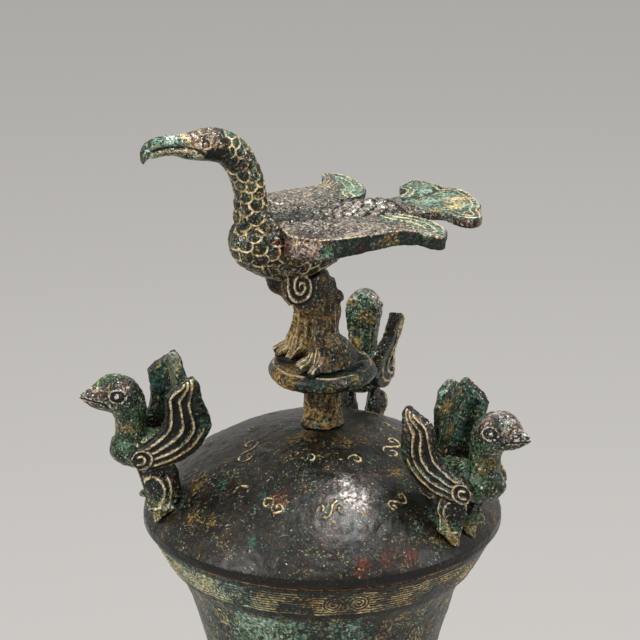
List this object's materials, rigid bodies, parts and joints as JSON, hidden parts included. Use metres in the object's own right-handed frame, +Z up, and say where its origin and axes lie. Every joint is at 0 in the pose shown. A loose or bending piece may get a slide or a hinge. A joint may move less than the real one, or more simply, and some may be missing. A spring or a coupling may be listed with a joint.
{
  "type": "lidded bronze vase",
  "caption": "Cast bronze jar with a flared mouth, a loose domed lid, a post with a round perch and an eagle, and small birds standing round the lid.",
  "frame": {"origin": "under the middle of the whole outline, at the level of the surface that the foot stands on", "axes": "+Z up along the vessel's axis, -Y towards the viewer of the picture, the eagle's beak towards -X and -Y"},
  "size_m": [0.1786, 0.1748, 0.3793],
  "materials": {
    "vessel_bronze": "cast bronze, green and brown burial patina",
    "lid_bronze": "cast bronze, smooth brown patina, dull gloss",
    "earthy_bronze": "cast bronze under tan earth deposits, matt",
    "bird_bronze": "cast bronze, mottled green and brown patina",
    "wing_bronze": "cast bronze, dark patina with pale deposits in the grooves"
  },
  "bodies": {
    "vessel": {"vessel_body": "vessel_bronze"},
    "lid": {"lid": "lid_bronze", "finial_post": "earthy_bronze", "perch_disc": "earthy_bronze", "eagle_body": "bird_bronze", "eagle_left_wing": "wing_bronze", "eagle_right_wing": "wing_bronze", "eagle_tail": "wing_bronze", "eagle_left_leg": "earthy_bronze", "eagle_right_leg": "earthy_bronze", "left_bird_body": "bird_bronze", "left_bird_left_wing": "wing_bronze", "left_bird_right_wing": "wing_bronze", "left_bird_tail": "wing_bronze", "left_bird_left_leg": "bird_bronze", "left_bird_right_leg": "bird_bronze", "right_bird_body": "bird_bronze", "right_bird_left_wing": "wing_bronze", "right_bird_right_wing": "wing_bronze", "right_bird_tail": "wing_bronze", "right_bird_left_leg": "bird_bronze", "right_bird_right_leg": "bird_bronze", "back_bird_body": "bird_bronze", "back_bird_left_wing": "wing_bronze", "back_bird_right_wing": "wing_bronze", "back_bird_tail": "wing_bronze", "back_bird_left_leg": "bird_bronze", "back_bird_right_leg": "bird_bronze"}
  },
  "joints": [
    {"name": "lid_lift", "type": "slide", "parent": "vessel", "child": "lid", "axis": [0, 0, 1], "range_m": [0, 0.08]}
  ]
}
